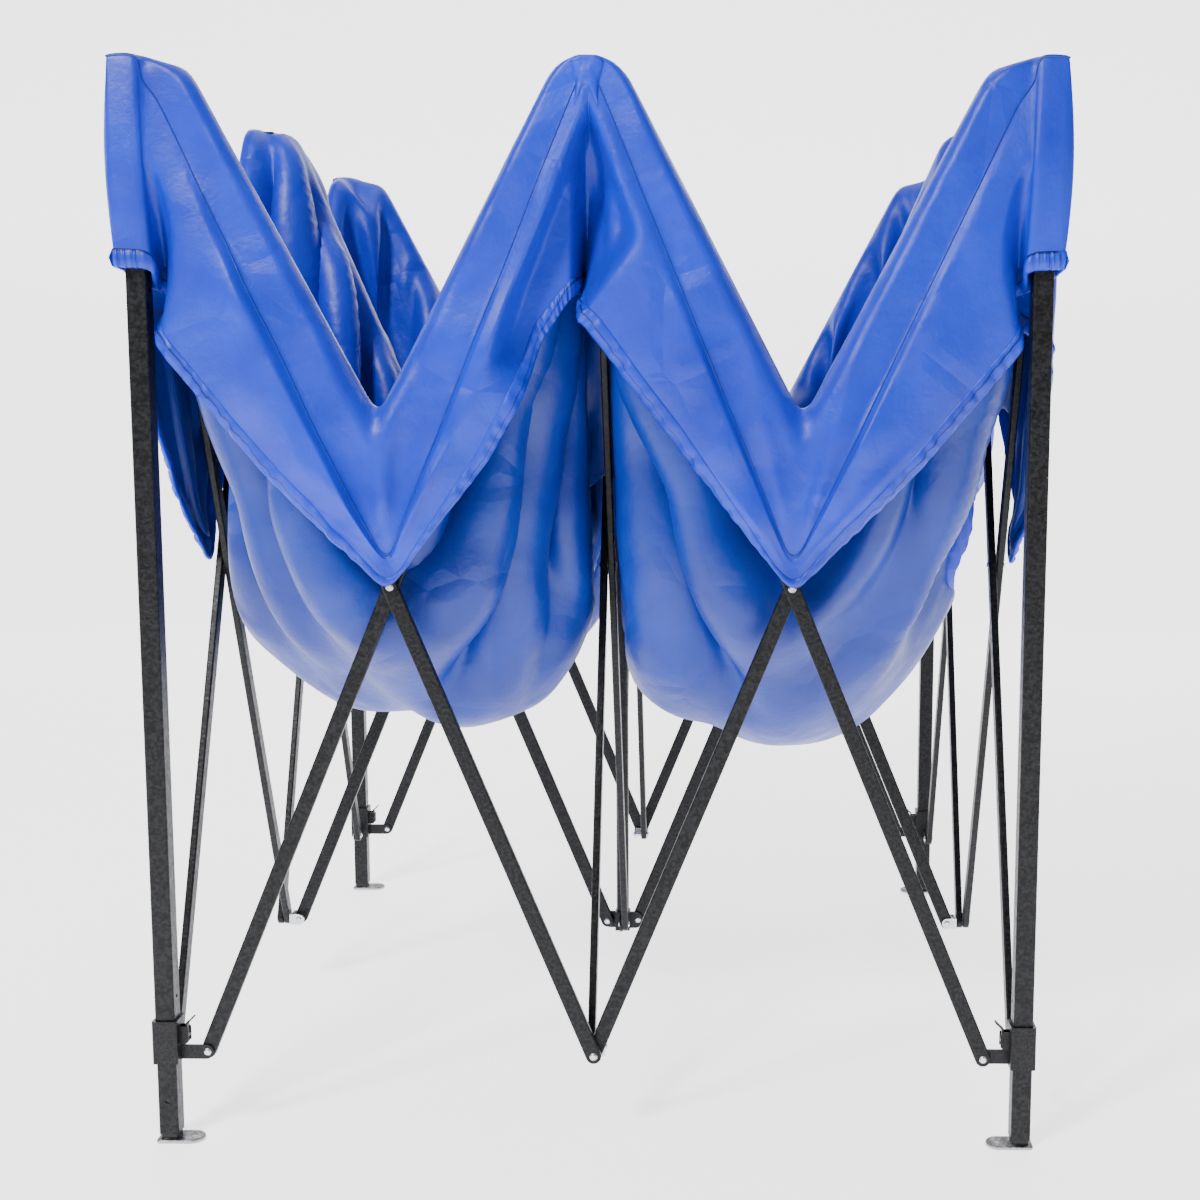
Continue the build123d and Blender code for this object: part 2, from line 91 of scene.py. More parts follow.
OPEN_RISE = 1.059                # how far the pole then lifts the peak, which is also eave to peak as cut

# ---- the cover's sizes, in metres, and its rows ----------------------------------------------------
CUT_HALF = 1.51                  # centre to eave, in plan, as cut
VALANCE = 0.28                   # eave seam to hem
HEM_WIDTH = 0.024
STITCH_LINE = CUT_HALF + VALANCE - 0.0225         # the hem's stitching, from the middle along the cut
CLOTH_THICK = 0.0009
PATCH_THICK = 0.0016
GATHER_AT = CUT_HALF / 2         # corner to gather, along the eave as cut
FAN_WIDE, FAN_NARROW = 0.115, 0.038               # cloth in front of the bars, at its widest and narrowest
TURN_OVER = 0.03                 # cloth that lies over the bars
TRUSS_STRIP = 0.032              # half the cloth that lies over a truss, as cut
OUT = 0.019                      # cloth in front of a side's middle plane: clears the rivet heads
ARCH = 0.018                     # half the width of the cloth where it lies over the bars
CAP_OUT = 0.024                  # how far the cover's corners stand out from a leg's axis
BAG_GAP = 0.012                  # a side's middle plane to the bags' front, less a little
FURTHEST = 0.064                 # no fold stands further out from a side's middle plane
STRIP_WIDTHS = (ARCH, 0.011, 0.0)                 # the three rows over a truss: from its middle,
STRIP_DROPS = (0.016, 0.004, 0.0)                 # and below its edge line
FAN = 7                          # rows of the roof in front of the bars
BAG = 54                         # rows of the roof in each hanging bag
RIM = FAN + 1                    # the row where the cloth turns down inside the bars
TRUSS = RIM + BAG                # the row beside a truss
LAST = TRUSS + 2                 # the row over a truss's middle
SIDE_COLUMNS = 2 * LAST
HEM_ROWS = 18
SEAM_ROW = RIM                   # on a side's own grid, which starts where the cloth turns over the bars
HEM_ROW = RIM + HEM_ROWS
VALLEY = (0.292, 1.050)          # the cover's upper edge over a side's crossing: from the middle, and height
TRUSS_VALLEY = (TRUSS_V, 0.935)
GATHER = (CROSS_U, CROSS_Z + 0.026)


# ---- materials ---------------------------------------------------------------------------------
class Nodes:
    """A short way to build a shader from nodes."""

    def __init__(self, name):
        self.material = bpy.data.materials.new(name)
        self.material.use_nodes = True
        self.tree = self.material.node_tree
        self.shader = self.tree.nodes["Principled BSDF"]
        self.place = self.add("ShaderNodeTexCoord").outputs["Object"]

    def add(self, kind, **values):
        node = self.tree.nodes.new(kind)
        for name, value in values.items():
            setattr(node, name, value)
        return node

    def link(self, source, target):
        self.tree.links.new(source, target)

    def noise(self, scale, detail=3.0, roughness=0.5):
        node = self.add("ShaderNodeTexNoise")
        node.inputs["Scale"].default_value = scale
        node.inputs["Detail"].default_value = detail
        node.inputs["Roughness"].default_value = roughness
        self.link(self.place, node.inputs["Vector"])
        return node.outputs["Fac"]

    def ramp(self, source, stops):
        node = self.add("ShaderNodeValToRGB")
        elements = node.color_ramp.elements
        while len(elements) < len(stops):
            elements.new(0.5)
        for element, (at, colour) in zip(elements, stops):
            element.position = at
            element.color = (*colour, 1.0)
        self.link(source, node.inputs["Fac"])
        return node.outputs["Color"]

    def shade(self, socket, source, stops):
        """Drives one of the shader's sockets by a ramp."""
        self.link(self.ramp(source, stops), self.shader.inputs[socket])

    def math(self, operation, first, second=None):
        node = self.add("ShaderNodeMath", operation=operation)
        for socket, value in zip(node.inputs, (first, second)):
            if hasattr(value, "is_linked"):
                self.link(value, socket)
            elif value is not None:
                socket.default_value = value
        return node.outputs[0]

    def bump(self, height, strength, distance, under=None):
        node = self.add("ShaderNodeBump")
        node.inputs["Strength"].default_value = strength
        node.inputs["Distance"].default_value = distance
        self.link(height, node.inputs["Height"])
        if under:
            self.link(under, node.inputs["Normal"])
        self.link(node.outputs["Normal"], self.shader.inputs["Normal"])
        return node.outputs["Normal"]

    def set(self, **values):
        for name, value in values.items():
            self.shader.inputs[name.replace("_", " ")].default_value = value


def grey(value):
    """A grey, as a colour."""
    return (value, value, value)


def hammered_coat(name, dark, light, hammer=210.0):
    """Black powder coat with the small pebbled relief of a hammered finish."""
    n = Nodes(name)
    pebbles = n.noise(hammer, 2.0, 0.55)
    n.shade("Base Color", pebbles, [(0.38, dark), (0.66, light)])
    n.shade("Roughness", n.noise(90.0), [(0.3, grey(0.30)), (0.7, grey(0.46))])
    n.bump(pebbles, 0.55, 0.0012)
    n.set(Metallic=0.15, IOR=1.32)
    return n.material


def zinc(name):
    """Bright zinc plate, slightly clouded."""
    n = Nodes(name)
    n.shade("Base Color", n.noise(160.0), [(0.3, (0.55, 0.56, 0.57)), (0.75, (0.83, 0.84, 0.85))])
    n.shade("Roughness", n.noise(320.0), [(0.3, grey(0.24)), (0.7, grey(0.42))])
    n.bump(n.noise(700.0), 0.15, 0.0004)
    n.set(Metallic=0.95)
    return n.material


def worn_foot(name):
    """The powder coat of a foot, rubbed to bare steel along its low edges."""
    n = Nodes(name)
    pebbles = n.noise(210.0, 2.0, 0.55)
    split = n.add("ShaderNodeSeparateXYZ")
    n.link(n.place, split.inputs[0])
    worn_height, fade = 0.009, 120.0
    low = n.math("MULTIPLY", n.math("SUBTRACT", worn_height, split.outputs["Z"]), fade)
    worn = n.math("MULTIPLY", n.math("ADD", low, n.noise(60.0, 5.0, 0.7)), 0.55)
    n.shade("Base Color", worn, [(0.50, (0.02, 0.02, 0.022)), (0.66, (0.42, 0.42, 0.43))])
    n.bump(pebbles, 0.5, 0.0012)
    n.set(Metallic=0.5, Roughness=0.42)
    return n.material


def coated_cloth(name, deep, pale, rough):
    """Coated polyester: a fine plain weave along the cut, creases, the hem's stitching and a plastic gloss."""
    weave_scale, crease_scale, crease_steep, stitch_half = 260.0, 7.5, 7.0, 0.0016
    n = Nodes(name)
    cut = n.add("ShaderNodeUVMap", uv_map="cut").outputs["UV"]
    clouds = n.noise(5.5, 4.0, 0.6)
    base = n.ramp(clouds, [(0.32, deep), (0.72, pale)])
    weave = []
    for direction in ("X", "Y"):
        wave = n.add("ShaderNodeTexWave", bands_direction=direction)
        wave.inputs["Scale"].default_value = weave_scale
        n.link(cut, wave.inputs["Vector"])
        weave.append(wave.outputs["Fac"])
    soft = n.bump(n.noise(16.0, 5.0, 0.62), 0.30, 0.010)
    cells = n.add("ShaderNodeTexVoronoi", feature="DISTANCE_TO_EDGE")
    cells.inputs["Scale"].default_value = crease_scale
    n.link(n.place, cells.inputs["Vector"])
    near = n.math("MINIMUM", n.math("MULTIPLY", cells.outputs["Distance"], crease_steep), 1.0)
    broken = n.ramp(n.noise(6.0, 1.0), [(0.46, grey(0.0)), (0.66, grey(1.0))])
    creased = n.bump(n.math("MULTIPLY", near, broken), 0.40, 0.006, under=soft)
    split = n.add("ShaderNodeSeparateXYZ")
    n.link(cut, split.inputs[0])
    out = n.math("MAXIMUM", n.math("ABSOLUTE", split.outputs["X"]), n.math("ABSOLUTE", split.outputs["Y"]))
    stitch = n.math("LESS_THAN", n.math("ABSOLUTE", n.math("SUBTRACT", out, STITCH_LINE)), stitch_half)
    dark = n.add("ShaderNodeMix", data_type="RGBA")
    n.link(stitch, dark.inputs["Factor"])
    n.link(base, dark.inputs["A"])
    dark.inputs["B"].default_value = (0.0, 0.006, 0.12, 1.0)
    n.link(dark.outputs["Result"], n.shader.inputs["Base Color"])
    n.bump(n.math("MULTIPLY", weave[0], weave[1]), 0.22, 0.0004, under=creased)
    n.shade("Roughness", n.noise(30.0, 3.0), [(0.3, grey(rough)), (0.75, grey(rough + 0.14))])
    n.set(Coat_Weight=0.05, Coat_Roughness=0.3, IOR=1.45)
    return n.material


def plain_stage(name, colour):
    """The backdrop's matt paint, which also glows."""
    n = Nodes(name)
    n.set(Roughness=0.9, Emission_Color=(1.0, 1.0, 1.0, 1.0), Emission_Strength=2.0, Base_Color=(*colour, 1.0))
    return n.material


seam_cloth = coated_cloth("blue_seam_tape", (0.0003, 0.014, 0.24), (0.0006, 0.022, 0.34), 0.42)
frame_coat = hammered_coat("hammered_black", (0.003, 0.003, 0.0035), (0.016, 0.0165, 0.019))
bracket_coat = hammered_coat("satin_black", (0.005, 0.005, 0.006), (0.018, 0.018, 0.020), 320.0)
zinc_plate = zinc("zinc_plate")
foot_coat = worn_foot("worn_foot_coat")
blue_cloth = coated_cloth("blue_coated_cloth", (0.0002, 0.018, 0.42), (0.0004, 0.034, 0.62), 0.35)
pale_lining = coated_cloth("pale_underside", (0.50, 0.52, 0.58), (0.62, 0.64, 0.70), 0.40)
blue_lining = coated_cloth("blue_underside", (0.0012, 0.020, 0.25), (0.0035, 0.036, 0.37), 0.34)


def separate_pieces(mesh):
    """Each vertex's group, where the vertices of one closed solid share a number, and its place."""
    places = np.zeros(len(mesh.vertices) * 3)
    mesh.vertices.foreach_get("co", places)
    _, same = np.unique(np.round(places.reshape(-1, 3), 6), axis=0, return_inverse=True)
    ends = np.zeros(len(mesh.edges) * 2, int)
    mesh.edges.foreach_get("vertices", ends)
    one, two = same.ravel()[ends].reshape(-1, 2).T
    label = np.arange(same.max() + 1)
    while True:
        low = np.minimum(label[one], label[two])
        new = label.copy()
        np.minimum.at(new, one, low)
        np.minimum.at(new, two, low)
        new = new[new]
        if (new == label).all():
            return label[same.ravel()], places.reshape(-1, 3)
        label = new


def zinc_rivets(mesh):
    """Gives the node's rivets, which are its separate small solids, the zinc plate."""
    groups, places = separate_pieces(mesh)
    small = np.zeros(groups.max() + 1, bool)
    for group in np.unique(groups):
        size = np.sort(np.ptp(places[groups == group], axis=0))
        small[group] = size[1] < RIVET_WIDTH
    firsts = np.zeros(len(mesh.polygons), int)
    mesh.polygons.foreach_get("loop_start", firsts)
    corners = np.zeros(len(mesh.loops), int)
    mesh.loops.foreach_get("vertex_index", corners)
    chosen = small[groups[corners[firsts]]]
    if chosen.any() and not chosen.all():
        mesh.materials.append(zinc_plate)
        mesh.polygons.foreach_set("material_index", chosen.astype(np.int32))


def paint_frame():
    """Gives each CAD node its material, and its rivets theirs."""
    for node, piece in frame["nodes"].items():
        if node.endswith("_middle_lower_bracket"):
            coat = zinc_plate
        elif node.endswith("_inner_leg"):
            coat = foot_coat
        elif node.endswith(("_bar", "_leg", "_pole")):
            coat = frame_coat
        else:
            coat = bracket_coat
        piece.data.materials.clear()
        piece.data.materials.append(coat)
        if coat is not zinc_plate:
            zinc_rivets(piece.data)


# ---- camera, light, floor ----------------------------------------------------------------------
def camera():
    """The view from in front, a little right of the middle, seven degrees down."""
    down, roll, turn = 7.04, -0.2, 0.56                    # degrees
    data = bpy.data.cameras.new("camera")
    data.lens = 49.1
    data.sensor_width = 36.0
    data.shift_x = -0.0985
    data.clip_end = 60.0
    eye = bpy.data.objects.new("camera", data)
    eye.location = (0.197, -2.864, 1.068)
    eye.rotation_euler = Euler((math.radians(90.0 - down), math.radians(roll), math.radians(turn)))
    bpy.context.collection.objects.link(eye)
    bpy.context.scene.camera = eye


def lamp(name, place, aim, size, power):
    """One square soft light."""
    data = bpy.data.lights.new(name, "AREA")
    data.shape = "SQUARE"
    data.size = size
    data.energy = power
    light = bpy.data.objects.new(name, data)
    light.location = place
    light.rotation_euler = (Vector(aim) - Vector(place)).to_track_quat("-Z", "Y").to_euler()
    bpy.context.collection.objects.link(light)


def studio():
    """A pale floor that curves up behind, and soft lights."""
    near, far, wide, high, bend, steps = -7.0, 6.0, 9.0, 7.0, 2.0, 12
    line = [(near, 0.0)]
    for step in range(steps + 1):
        turn = math.radians(90.0 * step / steps)
        line.append((far - bend + bend * math.sin(turn), bend - bend * math.cos(turn)))
    line.append((far, high))
    points = [(x, y, z) for y, z in line for x in (-wide, wide)]
    faces = [(2 * n, 2 * n + 1, 2 * n + 3, 2 * n + 2) for n in range(len(line) - 1)]
    mesh = bpy.data.meshes.new("backdrop")
    mesh.from_pydata(points, [], faces)
    mesh.polygons.foreach_set("use_smooth", [True] * len(faces))
    backdrop = bpy.data.objects.new("backdrop", mesh)
    backdrop.data.materials.append(plain_stage("backdrop_paint", (0.93, 0.932, 0.935)))
    bpy.context.collection.objects.link(backdrop)
    world = bpy.data.worlds.new("studio")
    world.use_nodes = True
    world.node_tree.nodes["Background"].inputs["Color"].default_value = (1.0, 1.0, 1.0, 1.0)
    world.node_tree.nodes["Background"].inputs["Strength"].default_value = 0.32
    bpy.context.scene.world = world
    lamp("key_light", (-2.2, -3.6, 4.2), (0.0, -0.3, 0.9), 0.8, 270.0)
    lamp("fill_light", (3.6, -3.2, 2.4), (0.0, -0.4, 0.8), 2.0, 12.0)
    lamp("top_light", (0.0, 1.0, 5.0), (0.0, 0.0, 0.8), 3.0, 60.0)


camera()
studio()
paint_frame()


# ---- the cover's cut and its lines ---------------------------------------------------------------
def tent(share):
    """0 at both ends, 1 in the middle."""
    return 1 - np.abs(2 * share - 1)


def eave_distance(cross):
    """Each row's distance from the eave as cut, at a place `cross` along it, from 0 corner to 1 middle."""
    wide = FAN_NARROW + (FAN_WIDE - FAN_NARROW) * tent(cross)
    fan = wide * np.arange(FAN + 1) / FAN
    rim = wide + TURN_OVER
    bag = np.linspace(rim, CUT_HALF - TRUSS_STRIP, BAG + 1)
    return np.concatenate([fan, bag, [CUT_HALF - TRUSS_STRIP / 2, CUT_HALF]])


def quarter_cut():
    """The quarter's points as cut and put up, by row from the side eave and row from the front eave."""
    plain = eave_distance(np.array(0.5)) / CUT_HALF
    cut = np.zeros((LAST + 1, LAST + 1, 3))
    for row in range(LAST + 1):
        distance = eave_distance(plain[row])
        cut[:, row, 0] = CUT_HALF - distance
        cut[row, :, 1] = CUT_HALF - distance
    cut[..., 2] = OPEN_RISE * (1 - cut[..., :2].max(axis=-1) / CUT_HALF)
    return cut


def length_along(line):
    """The length of the line up to each of its points."""
    return np.concatenate([[0], np.cumsum(np.linalg.norm(np.diff(line, axis=0), axis=1))])


def along(points, shares, soften):
    """Points at those shares of a line's length, with its corners softened over a length `soften`."""
    fine = 400                   # points while its corners are softened
    line = np.array(points, float)
    run = length_along(line)
    line = np.stack([np.interp(np.linspace(0, run[-1], fine), run, line[:, axis])
                     for axis in range(line.shape[1])], axis=1)
    width = max(3, int(soften / run[-1] * fine) // 2 * 2 + 1)
    ends = [line[:1] * 2 - line[width // 2:0:-1], line, line[-1:] * 2 - line[-2:-width // 2 - 1:-1]]
    kernel = np.hanning(width + 2)[1:-1]
    padded = np.concatenate(ends)
    line = np.stack([np.convolve(padded[:, axis], kernel / kernel.sum(), "valid")
                     for axis in range(line.shape[1])], axis=1)
    run = length_along(line)
    at = np.asarray(shares) * run[-1]
    return np.stack([np.interp(at, run, line[:, axis]) for axis in range(line.shape[1])], axis=-1)


def rim_line(shares):
    """The cover's upper edge over a side, from leg to middle: distance from the middle, and height."""
    points = [(HALF - ARCH, TOP - 0.004), (HALF - 0.080, TOP - 0.010), VALLEY,
              (0.050, TOP - 0.010), (ARCH, TOP - 0.001)]
    return along(points, shares, soften=0.05)


def seam_line(shares):
    """The eave seam, from the leg down to the crossing and up to the middle."""
    points = [(HALF + 0.004, TOP - 0.016), (HALF - 0.035, TOP - 0.050), GATHER,
              (0.030, TOP - 0.075), (0.004, TOP - 0.014)]
    return along(points, shares, soften=0.02)


def truss_line(shares):
    """The cover's upper edge over a truss, from the side's middle to the centre."""
    points = [(HALF - ARCH, TOP - 0.001), (HALF - 0.060, TOP - 0.008), TRUSS_VALLEY,
              (0.055, TOP - 0.008), (ARCH, TOP - 0.002)]
    return along(points, shares, soften=0.05)


def cap_offset(row):
    """How far a row near a leg's top lies from the leg's axis, towards the middle."""
    return np.interp(row, [0, FAN, RIM], [-CAP_OUT, 0.0, ARCH])


def folds(along_side, height, side, phase):
    """How far a side's cloth stands out there: folds fan out from each gather, with shallow dimples between."""
    dimple = 0.07                # a dimple's radius
    across, up = np.abs(along_side) - GATHER[0], height - GATHER[1]
    reach = np.hypot(across, up)
    angle = np.arctan2(across, up)
    wave = 0.5 + 0.5 * np.sin(angle * 9.0 + phase) * np.cos(angle * 4.3 + 2.1 * phase)
    wave = 0.4 * wave + 0.6 * (1 - np.abs(np.sin(angle * 6.5 + 1.9 * phase))) ** 1.5
    grow = np.clip(reach / 0.09, 0, 1) ** 2 * np.exp(-reach / 0.26)
    broad = 0.5 + 0.5 * np.sin(angle * 3.1 + 1.7 * phase)
    centres = np.random.default_rng(1000 + side).uniform((-0.62, 0.85), (0.62, 1.5), (68, 2))
    place = np.stack([along_side, height], axis=-1)
    nearest = np.linalg.norm(place[..., None, :] - centres, axis=-1).min(axis=-1)
    narrow_folds = 0.036 * wave * grow
    broad_folds = 0.016 * broad * np.clip(reach / 0.2, 0, 1) * np.exp(-reach / 0.5)
    dimples = 0.15 * np.clip(dimple - nearest, 0, dimple) * np.clip(reach / 0.05, 0, 1)
    return narrow_folds + broad_folds + dimples


def pinned_quarter():
    """The quarter's points where the frame fixes them: x and y here are distances from the middle."""
    place = np.zeros((LAST + 1, LAST + 1, 3))
    rows = np.arange(LAST + 1)
    shares = np.clip((rows - RIM) / BAG, 0, 1)
    rim, seam, truss = rim_line(shares), seam_line(shares), truss_line(shares)
    for row in rows:
        for other in rows:
            if row <= RIM and other <= RIM:
                x, y = HALF - cap_offset(row), HALF - cap_offset(other)
                dome = 0.002 * (cap_offset(row) ** 2 + cap_offset(other) ** 2) / CAP_OUT ** 2
                place[row, other] = x, y, TOP - dome
            elif other <= RIM < row or row <= RIM < other:
                band, run = (other, row) if other <= RIM else (row, other)
                place[row, other] = side_point(band, run, rim, seam)
                if row <= RIM:
                    place[row, other, :2] = place[row, other, 1::-1]
            elif row >= TRUSS or other >= TRUSS:
                strip, run = (row, other) if row >= other else (other, row)
                # at a truss's two ends the strip is wider and flatter, over the brackets
                free = np.interp(truss[run, 0], [0.03, 0.07, HALF - 0.075, HALF - 0.050], [0.3, 1, 1, 0.05])
                width = STRIP_WIDTHS[strip - TRUSS] * (1.40 - 0.40 * free)
                drop = STRIP_DROPS[strip - TRUSS] * free
                if run >= TRUSS:
                    place[row, other] = width, STRIP_WIDTHS[run - TRUSS], TOP - 0.001
                else:
                    place[row, other] = width, truss[run, 0], truss[run, 1] - drop
                if row < other:
                    place[row, other, :2] = place[row, other, 1::-1]
    return place


def side_point(band, run, rim, seam):
    """A point of the front side's upper band: row `band` from the seam, column `run`, before its folds."""
    crest, eave = rim[run], seam[run]
    fall = eave - crest
    length = np.linalg.norm(fall)
    if run > TRUSS:
        crest = np.array([STRIP_WIDTHS[run - TRUSS], TOP])
        eave = np.array([crest[0] * 0.4, eave[1]])
    if band == FAN:
        return crest[0], HALF, crest[1]
    if band == RIM:
        inner = crest + fall / max(length, 1e-6) * min(ARCH, length)
        return crest[0] if run >= TRUSS else inner[0], HALF - ARCH, min(inner[1], crest[1])
    share = 1 - band / FAN
    flat = crest + (eave - crest) * (0.10 + 0.90 * share if length > 0.05 else share)
    return flat[0], HALF + OUT, flat[1]


# ---- draping ---------------------------------------------------------------------------------
TAKEN_IN = 0.955                 # allows for the solver's own stretch
THREAD, BEND, SHEAR = 1.0, 0.12, 0.35             # how stiff the springs are
PUSH_SHARE = 0.40                # how well the cloth resists being pushed together, to being pulled
FALL = 0.0005                    # what gravity adds to a step's movement
KEPT_SPEED = 0.985
STEPS, QUICK_STEPS, PASSES = 330, 60, 5
BAG_DEPTH, BAG_ROUGH = 0.62, 0.012                # the depth and the unevenness that the bags start from
BAG_SEEDS = (11, 23, 37, 53)
DIMPLES = ((12, 0.30, 71), (44, 0.24, 91))        # the hung bags' dimples: how many, how steep, first seed
WALL, BAG_LOW = 0.020, 0.45      # the bags stay this far from the frame's planes, and over this height


def smooth_noise(shape, cells, seed):
    """Smooth random values between -1 and 1 over a grid."""
    coarse = np.random.default_rng(seed).uniform(-1, 1, (cells, cells, 3))
    at = [np.linspace(0, cells - 1.001, count) for count in shape]
    low = [a.astype(int) for a in at]
    part = [(a - l) ** 2 * (3 - 2 * (a - l)) for a, l in zip(at, low)]
    i, j = np.meshgrid(low[0], low[1], indexing="ij")
    u, v = (grid[..., None] for grid in np.meshgrid(part[0], part[1], indexing="ij"))
    return (coarse[i, j] * (1 - u) * (1 - v) + coarse[i + 1, j] * u * (1 - v)
            + coarse[i, j + 1] * (1 - u) * v + coarse[i + 1, j + 1] * u * v)


def facets(share, cells, steep, seed):
    """Shallow dimples that meet in straight creases, over a square grid."""
    centres = np.random.default_rng(seed).uniform(0, 1, (cells, 2))
    grid = np.stack(np.meshgrid(share, share, indexing="ij"), axis=-1)
    nearest = np.linalg.norm(grid[:, :, None] - centres, axis=-1).min(axis=-1)
    return steep * (nearest - nearest.mean())


def pair_starts(count, gap):
    """First members of the pairs `gap` apart, in two groups whose pairs share no point."""
    starts = np.arange(count - gap)
    turn = starts // gap % 2
    return starts[turn == 0], starts[turn == 1]


def springs(rows, columns):
    """Index pairs over a grid, in groups whose pairs share no point: threads, shear and bending."""
    groups = []
    for gap, stiff in ((1, THREAD), (2, BEND)):
        for first in pair_starts(rows, gap):
            every = np.arange(columns)[None]
            groups.append(((first[:, None], every), (first[:, None] + gap, every), stiff))
        for first in pair_starts(columns, gap):
            every = np.arange(rows)[:, None]
            groups.append(((every, first[None]), (every, first[None] + gap), stiff))
    for lean in (1, -1):
        across = np.arange(columns - 1)[None] + (0 if lean > 0 else 1)
        for first in pair_starts(rows, 1):
            groups.append(((first[:, None], across), (first[:, None] + 1, across + lean), SHEAR))
    return groups


def drape(place, cut, free, low, high, steps):
    """Lets the free points of the grids hang. Each spring keeps its length in the cut, and resists being
    pushed together only a little, as cloth does."""
    groups = []
    for one, two, stiff in springs(*place.shape[1:3]):
        rest = TAKEN_IN * np.linalg.norm(cut[one] - cut[two], axis=-1)[None]
        share = free[one] + free[two]
        first = (free[one] / np.maximum(share, 1))[None, ..., None]
        second = (free[two] / np.maximum(share, 1))[None, ..., None]
        groups.append(((slice(None),) + one, (slice(None),) + two, rest, first, second, stiff))
    speed = np.zeros_like(place)
    moving = free[None, ..., None]
    for _ in range(steps):
        before = place.copy()
        place = place + moving * (speed * KEPT_SPEED + np.array([0, 0, -FALL]))
        for _ in range(PASSES):
            for one, two, rest, first, second, stiff in groups:
                apart = place[two] - place[one]
                length = np.linalg.norm(apart, axis=-1) + 1e-9
                strain = (length - rest) / length
                push = np.where(strain > 0, stiff, stiff * PUSH_SHARE) * strain
                move = apart * push[..., None]
                place[one] += first * move
                place[two] -= second * move
            place = np.where(moving > 0, np.clip(place, low, high), place)
        speed = place - before
    return place


def hung_quarters():
    """The roof's four quarters with their bags hung, as distances from the middle: quarter, row, row, xyz."""
    cut, place = quarter_cut(), pinned_quarter()
    inner = slice(RIM, TRUSS + 1)
    rim = place[inner, inner]
    count = BAG + 1
    share = np.linspace(0, 1, count)
    a, b = share[:, None, None], share[None, :, None]
    patch = ((1 - a) * rim[:1] + a * rim[-1:] + (1 - b) * rim[:, :1] + b * rim[:, -1:]
             - (1 - a) * (1 - b) * rim[0, 0] - (1 - a) * b * rim[0, -1]
             - a * (1 - b) * rim[-1, 0] - a * b * rim[-1, -1])
    depth = BAG_DEPTH * np.sqrt(np.sin(np.pi * a) * np.sin(np.pi * b))
    patch = patch - depth * np.array([0, 0, 1.0])
    free = np.zeros((count, count))
    free[1:-1, 1:-1] = 1.0
    quarters = np.stack([patch + BAG_ROUGH * smooth_noise((count, count), 7, seed) * free[..., None]
                         for seed in BAG_SEEDS])
    quarters[:, free == 0] = rim[free == 0]
    low = np.array([WALL, WALL, BAG_LOW])
    high = np.array([HALF - WALL, HALF - WALL, TOP])
    quarters = drape(quarters, cut[inner, inner], free, low, high, STEPS)
    from_edge = np.minimum(share, 1 - share)
    edge = np.clip(np.minimum(from_edge[:, None], from_edge[None]) / 0.14, 0, 1)
    for number, quarter in enumerate(quarters):
        along_rows = np.gradient(quarter, axis=0)
        normal = np.cross(along_rows, np.gradient(quarter, axis=1))
        normal /= np.linalg.norm(normal, axis=-1, keepdims=True) + 1e-9
        crumple = sum(facets(share, cells, steep, seed + number) for cells, steep, seed in DIMPLES)
        quarters[number] = np.clip(quarter + normal * (crumple * edge)[..., None], low, high)
    whole = np.stack([place] * 4)
    whole[:, inner, inner] = quarters
    return whole, cut


def hem_line(distances, under):
    """The hem, by its distance from the corner as cut: distance from the middle, depth, and height.
    At the middle the half that goes under turns in early, and the other laps over it."""
    leg_side, front = HALF - 0.021, -OUT
    stops = [                    # along the cut, from the middle, depth, height
        (0.000, HALF + CAP_OUT, -CAP_OUT, TOP - VALANCE),
        (0.060, HALF - 0.038, -0.027, TOP - VALANCE - 0.003),
        (0.080, leg_side, front, TOP - VALANCE - 0.014),
        (0.165, leg_side, 0.070, TOP - 0.330),
        (0.250, leg_side - 0.004, front, TOP - 0.385),
        (0.500, 0.445, front - 0.004, 0.968),
        (GATHER_AT, CROSS_U, front - 0.004, CROSS_Z - 0.006),
        (1.000, 0.136, front - 0.004, 0.983),
    ]
    if under:
        stops += [(1.110, 0.090, front, 1.065), (1.180, 0.070, 0.030, TOP - 0.380),
                  (1.330, 0.036, 0.080, TOP - 0.330)]
    else:
        stops += [(1.225, -0.006, front, 1.165), (1.270, -0.015, front, TOP - 0.350),
                  (1.330, -0.018, 0.022, TOP - 0.335)]
    stops.append((CUT_HALF, 0.012 if under else -0.012, 0.090, TOP - 0.300))
    at = [stop[0] for stop in stops]
    return np.stack([np.interp(distances, at, [stop[axis] for stop in stops]) for axis in (1, 2, 3)], axis=-1)


def half_valance(seam, distances, under):
    """Half a side's valance below its seam: row, column, (distance from the middle, depth, height)."""
    hem = hem_line(distances, under)
    share = (np.arange(1, HEM_ROWS + 1) / HEM_ROWS)[:, None, None]
    billow = 0.010 * np.sin(np.pi * share) * np.clip(np.abs(distances - GATHER_AT) / 0.2, 0, 1)[None, :, None]
    place = seam * (1 - share) + hem * share
    middle_pleat = distances > 1
    # the middle pleat goes inwards only where it is clear of the two bars beside it
    inward = np.clip((share[..., 0] - 0.32) / 0.68, 0, 1) ** 1.2
    between_bars = (HIGH_PIVOT - place[..., 2]) * BAR_SLOPE - 0.013 - np.abs(place[..., 0])
    inward = np.where(middle_pleat, np.clip(between_bars / 0.014, 0, 1), inward)
    pleated = hem[None, :, 1] > -OUT + 0.001
    sunk = seam[None, :, 1] * (1 - inward) + hem[None, :, 1] * inward
    place[..., 1] = np.where(pleated, sunk, place[..., 1])
    # and it stops in front of the bags, or of the truss between them
    to_truss = 0.008 + BAR_SLOPE * (HIGH_PIVOT - place[..., 2])
    deepest = BAG_GAP + (to_truss - BAG_GAP) * np.clip((0.024 - np.abs(place[..., 0])) / 0.012, 0, 1)
    place[..., 1] = np.where(middle_pleat, np.minimum(place[..., 1], np.maximum(deepest, 0)), place[..., 1])
    place[..., 1] -= billow[..., 0] * (place[..., 1] < -OUT + 0.004)
    return place


